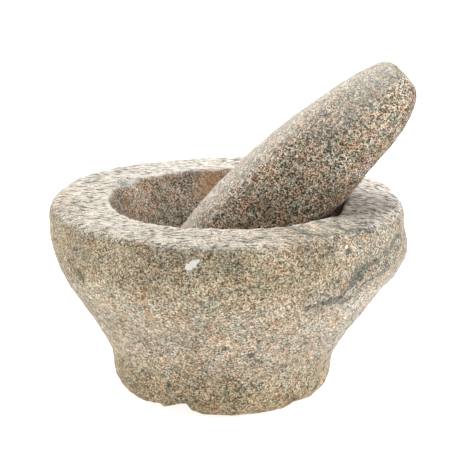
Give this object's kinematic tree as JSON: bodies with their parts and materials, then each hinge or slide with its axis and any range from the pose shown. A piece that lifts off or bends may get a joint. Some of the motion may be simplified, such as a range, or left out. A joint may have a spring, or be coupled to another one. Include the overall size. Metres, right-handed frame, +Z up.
{
  "type": "mortar and pestle",
  "caption": "Thick-walled carved granite bowl on a chipped solid foot, with a club-shaped granite pestle leaning on its lip.",
  "frame": {"origin": "on the bowl's axis, in the plane that the foot stands on", "axes": "+Z up along the bowl's axis, +X towards the side that the pestle leans to"},
  "size_m": [0.2055, 0.199, 0.1897],
  "materials": {
    "mortar_granite": "rough, unpolished",
    "pestle_granite": "rough, unpolished"
  },
  "bodies": {
    "mortar": {"mortar": "mortar_granite"},
    "pestle": {"pestle": "pestle_granite"}
  },
  "joints": [
    {"name": "pestle_lift", "type": "slide", "parent": "mortar", "child": "pestle", "axis": [0, 0, 1], "range_m": [0, 0.12]}
  ]
}
